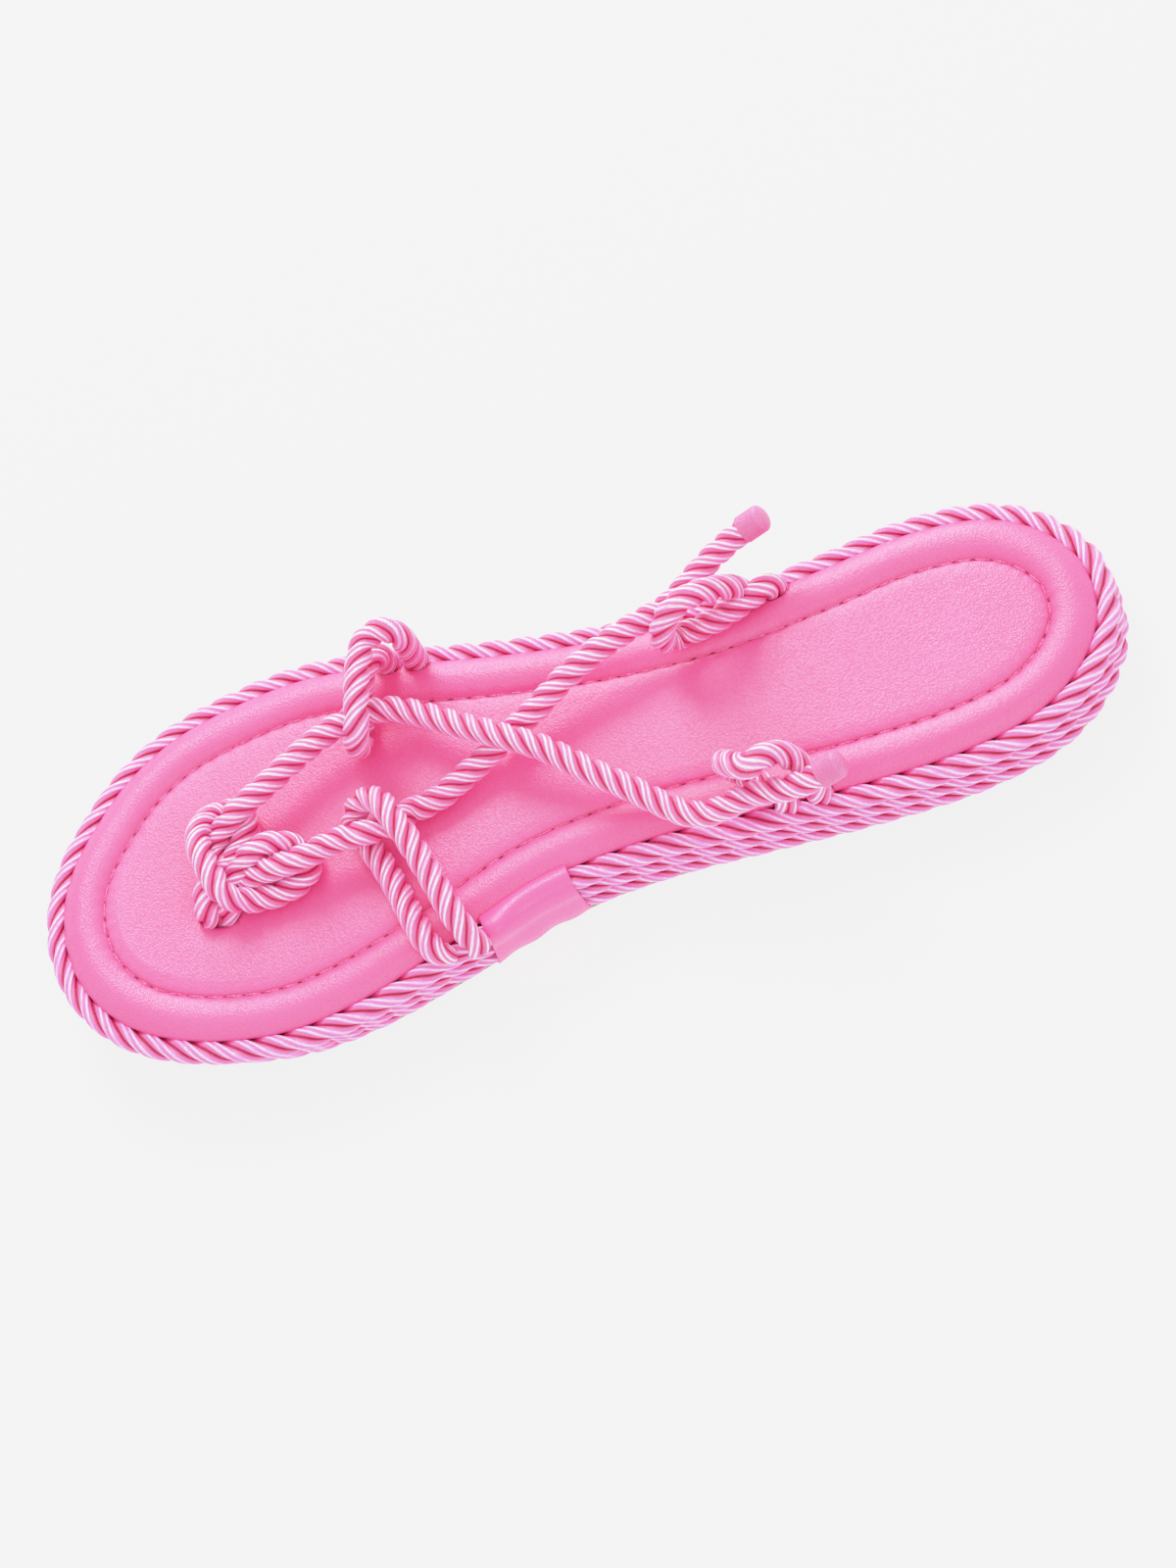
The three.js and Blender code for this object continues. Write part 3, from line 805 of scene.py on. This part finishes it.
def ring_mesh(name, rings):
    """A closed body through rings of the same length. Strips between its sides fill the last ring."""
    count = len(rings[0])
    half = count // 2
    points = [np.array(rings).reshape(-1, 3)]
    faces = []
    for r in range(len(rings) - 1):
        for i in range(count):
            j = (i + 1) % count
            faces.append((r * count + i, r * count + j, (r + 1) * count + j, (r + 1) * count + i))
    last = (len(rings) - 1) * count
    base = len(rings) * count
    inner = rings[-1]
    share = np.linspace(0, 1, ACROSS_STEPS + 1)[1:-1, None]
    strips = {}
    for i in range(END_CAP, half - END_CAP + 1):
        points.append(inner[i] * (1 - share) + inner[count - i] * share)
        first = base + (i - END_CAP) * (ACROSS_STEPS - 1)
        strips[i] = [last + i, *range(first, first + ACROSS_STEPS - 1), last + count - i]
    for i in range(END_CAP, half - END_CAP):
        for k in range(ACROSS_STEPS):
            faces.append((strips[i][k], strips[i + 1][k], strips[i + 1][k + 1], strips[i][k + 1]))
    # One flat face at the toe and one at the heel, then strips across the foot of the core.
    faces.append([last + k % count for k in range(1 - END_CAP, END_CAP)] + strips[END_CAP])
    faces.append([last + half + k for k in range(1 - END_CAP, END_CAP)] + strips[half - END_CAP][::-1])
    for i in range(1, half - 1):
        faces.append((i, count - i, count - i - 1, i + 1))
    faces += [(0, count - 1, 1), (half, half - 1, half + 1)]
    mesh = bpy.data.meshes.new(name)
    mesh.from_pydata(np.vstack(points).tolist(), [], [tuple(face) for face in faces])
    mesh.update()
    made = bpy.data.objects.new(name, mesh)
    scene.collection.objects.link(made)
    return made


footbed = ring_mesh("footbed_leather", footbed_rings())
outward_normals(footbed)
print("footbed:", len(footbed.data.polygons), "faces before the slot is cut")

# %% [markdown]
# Rope presses soft leather down. Every point of the leather that is too near a loop moves straight away from
# the loop's centre line, but never upwards. Round the thong the leather sinks a little, and the slot that
# the thong goes through is cut with a rounded block.

# %% Leather round the ropes
LOOP_ROOM = 3.25 * MM
LOOP_SEARCH = 40 * MM
LOOP_LINE_STEP = 0.5 * MM
THONG_DIP = 1.1 * MM
THONG_DIP_REACH = 5 * MM
SLOT_MIDDLE = (36.5, -10.2)
SLOT_SIZE = (9.8, 5.9, 14)
SLOT_DEPTH = 4
SLOT_ROUND = 2.9
SLOT_RUN = (3.8, -1.2)
places = coords(footbed.data)
toe_side = np.array([SLOT_MIDDLE[0] - FOOTBED_LENGTH / 2, SLOT_MIDDLE[1]]) * MM
far = np.linalg.norm(places[:, :2] - toe_side, axis=1)
on_top = places[:, 2] > SEAM_HEIGHT * MM
places[:, 2] -= on_top * THONG_DIP * np.exp(-((far / THONG_DIP_REACH) ** 2))
for route in LOOP_ROUTES.values():
    line = even_line(route_line(route), LOOP_LINE_STEP)
    near = np.flatnonzero(on_top & (np.abs(places - line.mean(0)).max(1) < LOOP_SEARCH))
    gap = places[near][:, None] - line[None]
    size = np.linalg.norm(gap, axis=2)
    closest = size.argmin(1)
    least = size[np.arange(len(near)), closest]
    away = gap[np.arange(len(near)), closest] / np.maximum(least, 1e-6)[:, None]
    away[:, 2] = np.minimum(away[:, 2], 0)
    places[near] += away * np.maximum(0, LOOP_ROOM - least)[:, None]
set_coords(footbed.data, places)

bpy.ops.mesh.primitive_cube_add(size=1, location=(*toe_side, (PANEL_HEIGHT - SLOT_DEPTH) * MM))
slot = bpy.context.object
slot.scale = [size * MM for size in SLOT_SIZE]
slot.rotation_euler[2] = math.atan2(SLOT_RUN[1], SLOT_RUN[0])
round_off = slot.modifiers.new("round", "BEVEL")
round_off.width = SLOT_ROUND * MM
round_off.segments = 6
round_off.limit_method = "NONE"
round_off.affect = "EDGES"
bpy.ops.object.transform_apply(location=True, rotation=True, scale=True)
apply_all(slot)
cut = footbed.modifiers.new("slot", "BOOLEAN")
cut.operation = "DIFFERENCE"
cut.solver = "EXACT"
cut.object = slot
apply_all(footbed)
bpy.data.objects.remove(slot)
print("footbed:", len(footbed.data.polygons), "faces")

# %% [markdown]
# The leather is faux leather with a fine pebbled grain: small rounded cells with narrow creases between
# them. The creases are less glossy, and painted a little deeper in colour as the shade in them. A fine noise
# moves the cells, so that the grain isn't even, and wide soft clouds keep the colour from being flat.

# %% Leather finish
GRAIN = 2000
GRAIN_DRIFT = 0.25 * MM
GRAIN_RELIEF = 0.13 * MM


def leather_finish(name, base, deep, gloss, relief):
    made = Finish(name)
    wide = made.noise(30, 2.0)
    fine = made.noise(2400, 2.0)
    pebble = made.cells(GRAIN, made.place_moved(fine, GRAIN_DRIFT))
    crack = pebble.over(0.35, 0.75)
    # The clouds vary the tone at random; the creases' share is painted shade.
    tone = made.mix(wide.over(0.3, 0.7) * 0.3 + crack * 0.3, base, deep)
    height = (1 - pebble) * 0.75 + fine * 0.25
    normal = made.bump(height, GRAIN_RELIEF, relief)
    return made.set(Base_Color=tone, Roughness=gloss + crack * 0.2, Normal=normal, Specular_IOR_Level=0.7)


LEATHER_GLOSS = 0.28
LEATHER = leather_finish("pink_leather", colour("fd66a6"), colour("f84e8c"), LEATHER_GLOSS, 0.8)
footbed.data.materials.append(LEATHER)
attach(footbed, "root")
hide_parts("footbed")
print("leather:", LEATHER.name)

# %% [markdown]
# The border is held by a line of lock stitches. Each leaves a short thread in the channel, and between two
# threads a dark dash paints the shade in the needle hole. Both are one small capsule, copied along the stitch
# line.

# %% Stitches
THREAD_LENGTH = 3.6
HOLE_LENGTH = 1.25
STITCH_LINE_STEP = 0.1
CHANNEL_HEIGHT = 0.88
LOOK_AHEAD = 5
FIBRE_RELIEF = 0.1 * MM
stitch_line = beside_seam(-STITCH_INSET, SEAM_HEIGHT + CHANNEL_HEIGHT)
stitch_count = round(len(seam) / STITCH_PITCH)
closed = even_line(np.vstack([stitch_line, stitch_line[:1]]), STITCH_LINE_STEP * MM)


def dash_row(name, finish, length, across, high, shift, rise):
    """Small capsules along the stitch line, as one piece. shift is a share of the stitch pitch."""
    bpy.ops.mesh.primitive_uv_sphere_add(segments=8, ring_count=6, radius=0.5)
    bead = bpy.context.object
    shape = coords(bead.data)[:, [2, 0, 1]]
    faces = [tuple(face.vertices) for face in bead.data.polygons]
    bpy.data.objects.remove(bead)
    points, all_faces = [], []
    for k in range(stitch_count):
        at = int((k + shift) / stitch_count * (len(closed) - 1)) % (len(closed) - 1)
        ahead = closed[(at + LOOK_AHEAD) % len(closed)] - closed[at - LOOK_AHEAD]
        ahead /= np.linalg.norm(ahead)
        beside = np.array([-ahead[1], ahead[0], 0])
        above = np.cross(ahead, beside)
        size = shape * [length * MM, across * MM, high * MM]
        offset = sum(size[:, i : i + 1] * axis for i, axis in enumerate((ahead, beside, above)))
        all_faces += [tuple(v + len(shape) * k for v in face) for face in faces]
        points.append(closed[at] + above * rise * MM + offset)
    mesh = bpy.data.meshes.new(name)
    mesh.from_pydata(np.vstack(points).tolist(), [], all_faces)
    made = bpy.data.objects.new(name, mesh)
    scene.collection.objects.link(made)
    outward_normals(made)
    mesh.materials.append(finish)
    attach(made, "root")
    print(name, stitch_count, "pieces,", len(mesh.polygons), "faces")


thread = Finish("stitch_thread")
twist = thread.noise(3000, 1.0)
thread.set(
    Base_Color=thread.mix(twist.over(0.35, 0.65), colour("f99cc6"), colour("d6487c")),
    Roughness=0.5,
    Normal=thread.bump(twist, FIBRE_RELIEF, 0.6),
)
# The needle hole is painted shade: a dark capsule sits where the hole is.
hole_shade = Finish("needle_hole_shade")
hole_shade.set(Base_Color=hole_shade.mix(hole_shade.noise(2000, 1.0), colour("6e2236"), colour("8a4238")), Roughness=0.8)
dash_row("stitch_threads", thread.material, THREAD_LENGTH, across=0.4, high=0.4, shift=0, rise=0.08)
dash_row("needle_hole_shades", hole_shade.material, HOLE_LENGTH, across=0.32, high=0.22, shift=0.5, rise=0.02)

# %% [markdown]
# The three rope rows end under a strip of the same leather. It is glued down over them, swells at its front
# where a loop's end lies under it, and shows its pale backing at its cut edges. A flat grid is laid over the
# rows by its section, and Solidify gives it the leather's wall.

# %% Joining patch
PATCH_ALONG = 28
PATCH_ROUND = 34
PATCH_WALL = 0.8
PATCH_SLANT = 3
PATCH_EDGE = 0.18
ROWS_SHOW = 0.1
HEM_WAVE = 0.3
HEM_TURNS = 0.62
# The loop's end swells the patch this much: the middle and the reach of the swelling, in millimetres along
# the patch and as shares of the way down.
SWELL = 2.4
SWELL_ALONG = (1.5, 4.5)
SWELL_DOWN = (0.3, 0.17)
# The patch's section, from the leather's top to the foot of the sole: how far out, and how high.
PATCH_FOLD = [
    (-0.9, 17.2), (-0.1, 18.2), (2.2, 19), (4.7, 18), (6.15, 15), (5.85, 12), (5.8, 9), (5.8, 6.4),
    (5.3, 4.1), (4.3, 2.3),
]


def medial_frame(station):
    """Seam point and outward direction on the medial side, for an array of stations."""
    picked = np.flatnonzero(medial_half)
    picked = picked[np.argsort(seam_station[picked])]
    columns = (seam[:, 1], outward[:, 0], outward[:, 1])
    return [np.interp(station, seam_station[picked], values[picked]) for values in columns]


def hill(place, middle, reach):
    """1 at the middle, and soft down to nothing."""
    return np.exp(-(((place - middle) / reach) ** 2))


def patch_points():
    """The places of the grid's points, row by row down the fold."""
    along = np.linspace(0, 1, PATCH_ALONG + 1)
    fold = smooth_line([(out, height, 0) for out, height in PATCH_FOLD], PATCH_ROUND + 1)
    points = []
    for k, (out, height, _) in enumerate(fold):
        share = k / PATCH_ROUND
        station = PATCH_FRONT + PATCH_LENGTH * along - PATCH_SLANT * share * (1 - along)
        side, out_x, out_y = medial_frame(station)
        tucked = out - (ROW_OUTSET - row_outset(2, station)) * share
        swell = SWELL * hill(station - PATCH_FRONT, *SWELL_ALONG) * hill(share, *SWELL_DOWN)
        rows = ROWS_SHOW * math.cos(share * 2 * ROW_COUNT * math.pi)
        hem = HEM_WAVE * share**2 * np.sin(station * HEM_TURNS + 1)
        reach = tucked + swell * 0.8 + (rows + hem)
        x = station - FOOTBED_LENGTH / 2 + out_x * reach
        y = side + out_y * reach
        z = height + swell * 0.5
        points.append(np.stack([x, y, z], 1) * MM)
    return np.array(points)


bpy.ops.mesh.primitive_grid_add(x_subdivisions=PATCH_ALONG, y_subdivisions=PATCH_ROUND, size=1)
patch = bpy.context.object
patch.name = "patch_leather"
grid = coords(patch.data)
grid_column = np.rint((grid[:, 0] + 0.5) * PATCH_ALONG).astype(int)
grid_row = np.rint((grid[:, 1] + 0.5) * PATCH_ROUND).astype(int)
set_coords(patch.data, patch_points()[grid_row, grid_column])
outward_normals(patch)
wall = patch.modifiers.new("wall", "SOLIDIFY")
wall.thickness = PATCH_WALL * MM
wall.offset = -1
wall.material_offset_rim = 1
soft = patch.modifiers.new("soft", "BEVEL")
soft.width = PATCH_EDGE * MM
soft.segments = 2
soft.limit_method = "ANGLE"
apply_all(patch)
backing = Finish("leather_backing")
fuzz = backing.noise(2400, 2.0)
backing.set(
    Base_Color=backing.mix(fuzz, colour("f8dfe4"), colour("f3b9cf")),
    Roughness=0.85,
    Normal=backing.bump(fuzz, FIBRE_RELIEF, 0.5),
)
PATCH_LEATHER = leather_finish("patch_leather", colour("fd62a8"), colour("fa569c"), LEATHER_GLOSS, 0.3)
patch.data.materials.append(PATCH_LEATHER)
patch.data.materials.append(backing.material)
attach(patch, "root")
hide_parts("joining_patch")
print("patch:", len(patch.data.polygons), "faces")

# %% [markdown]
# The straps end just past the rear loops. A cut rope would open, so each end is wound with thread and its
# tip is melted round.

# %% Rope ends
WINDINGS = 9
WINDING_START = 0.6
WINDING_PITCH = 0.55
WINDING_RADIUS = 3.0
WINDING_THREAD_RADIUS = 0.34
DOME_RADIUS = 3.25
DOME_INWARD = 0.35
DOME_FLAT = 0.55
END_REACH = 12

whipping = Finish("whipping_thread")
strand = whipping.noise(2500, 1.0)
WHIPPING = whipping.set(
    Base_Color=whipping.mix(strand, colour("f490c4"), colour("e0508e")),
    Roughness=0.4,
    Normal=whipping.bump(strand, FIBRE_RELIEF, 0.5),
)


def rope_end(name, tip, inward):
    """Windings from the tip inward, and a domed tip."""
    turn_to = Vector(inward).to_track_quat("Z", "Y").to_euler()
    parts = []
    for k in range(WINDINGS):
        bpy.ops.mesh.primitive_torus_add(
            major_radius=WINDING_RADIUS * MM,
            minor_radius=WINDING_THREAD_RADIUS * MM,
            major_segments=40,
            minor_segments=8,
            location=Vector(tip) + Vector(inward) * (WINDING_START + k * WINDING_PITCH) * MM,
            rotation=turn_to,
        )
        parts.append(bpy.context.object)
    bpy.ops.mesh.primitive_uv_sphere_add(
        segments=32,
        ring_count=16,
        radius=DOME_RADIUS * MM,
        location=Vector(tip) + Vector(inward) * DOME_INWARD * MM,
        rotation=turn_to,
    )
    dome = bpy.context.object
    dome.scale[2] = DOME_FLAT
    end = join([*parts, dome], dome)
    bpy.ops.object.transform_apply(location=True, rotation=True, scale=True)
    end.name = name
    bpy.ops.object.shade_smooth()
    end.data.materials.clear()
    end.data.materials.append(WHIPPING)
    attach(end, "root")
    print(name, len(end.data.polygons), "faces")


strap_path = route_line(STRAPS)
for name, tip, step in (("strap_end_medial", 0, END_REACH), ("strap_end_lateral", -1, -END_REACH)):
    inward = strap_path[tip + step] - strap_path[tip]
    rope_end(name, strap_path[tip], inward / np.linalg.norm(inward))

# %% [markdown]
# The outsole is a cut sheet of rubber, and its imported solid has the right shape already. So only its finish
# is made here: fine ribs that run across it in a shallow V, as a tread, with painted shade between them.

# %% Outsole finish
TREAD_PITCH = 3 * MM
TREAD_SLANT = 0.5
rubber = Finish("outsole_rubber")
speck = rubber.noise(900, 3.0)
along = rubber.node("ShaderNodeSeparateXYZ", None, {0: rubber.place()}, out=0)
across = rubber.node("ShaderNodeSeparateXYZ", None, {0: rubber.place()}, out=1).math("ABSOLUTE")
rib = ((along + across * TREAD_SLANT) * (2 * math.pi / TREAD_PITCH)).math("SINE").over(-0.3, 0.3)
ribbed = rubber.bump(rib, 0.5 * MM, 0.7)
# The speckle is the rubber's own tone; the rib's share of the colour paints shade between the ribs.
rubber.set(
    Base_Color=rubber.mix(speck * 0.6 + rib * 0.4, colour("948b6c"), colour("a89e7c")),
    Roughness=0.75,
    Normal=rubber.bump(speck, 0.1 * MM, 0.4, below=ribbed),
)
nodes["outsole"].data.materials.clear()
nodes["outsole"].data.materials.append(rubber.material)
print("outsole:", rubber.material.name)

# %% [markdown]
# The photograph was taken on white paper in soft light, with almost no shadow. The paper glows a little here,
# as it does under a tent of light. One wide lamp stands beyond the far side of the shoe, where the border's
# highlight says it was, one low behind it, and a weak one in front.

# %% Floor and light
FLOOR_SIZE = 8
FLOOR_DROP = 0.2 * MM
PAPER = (0.22, 0.22, 0.22, 1)
PAPER_GLOW = 1.05
WHITE = (1, 1, 1, 1)
LAMP_SIZE = 0.5
bpy.ops.mesh.primitive_plane_add(size=FLOOR_SIZE, location=(0, 0, -FLOOR_DROP))
floor = bpy.context.object
floor.name = "floor"
paper = Finish("floor_paper")
paper.set(
    Base_Color=PAPER,
    Roughness=0.9,
    Specular_IOR_Level=0.0,
    Emission_Color=WHITE,
    Emission_Strength=PAPER_GLOW,
)
floor.data.materials.append(paper.material)

world = bpy.data.worlds.new("studio")
world.use_nodes = True
world.node_tree.nodes["Background"].inputs[0].default_value = WHITE
world.node_tree.nodes["Background"].inputs[1].default_value = 1.0
scene.world = world


def soft_box(name, place, power):
    """A round lamp at a place, which looks at the shoe."""
    data = bpy.data.lights.new(name, "AREA")
    data.shape = "DISK"
    data.size = LAMP_SIZE
    data.energy = power
    lamp = bpy.data.objects.new(name, data)
    scene.collection.objects.link(lamp)
    lamp.location = place
    lamp.rotation_euler = (-Vector(place)).to_track_quat("-Z", "Y").to_euler()
    print("lamp", name, power, "W")


soft_box("key", (-0.12, 0.78, 0.87), 6.2)
soft_box("back", (0.1, 1.15, 0.42), 5)
soft_box("front", (0.35, -0.8, 0.8), 1.6)
